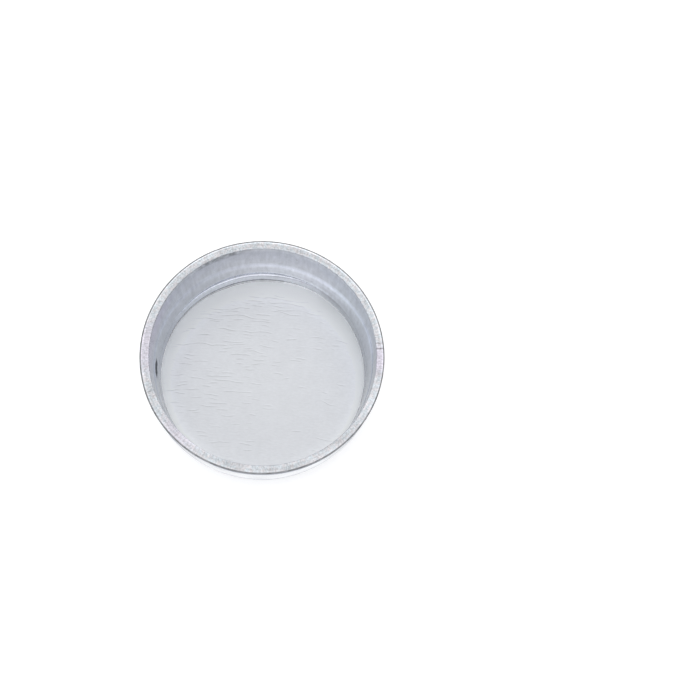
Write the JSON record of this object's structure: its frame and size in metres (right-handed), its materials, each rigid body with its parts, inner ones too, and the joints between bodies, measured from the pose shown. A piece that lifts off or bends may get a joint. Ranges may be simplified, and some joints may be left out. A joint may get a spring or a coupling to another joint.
{
  "type": "bezel cup setting",
  "caption": "Round one-piece metal bezel cup with an open mouth, a thin straight wall, a flat floor and a rounded base corner, which holds a round flat-backed stone.",
  "frame": {"origin": "centre of the base's flat underside", "axes": "+Z along the cup's axis, out of its open mouth; X and Y lie in the base, and the cup is round, so neither is special"},
  "size_m": [0.0108, 0.0108, 0.0041],
  "materials": {
    "silver": "semi-bright, with rolling marks on the floor and a filed rim"
  },
  "bodies": {
    "root": {"bezel_cup": "silver"}
  },
  "joints": []
}
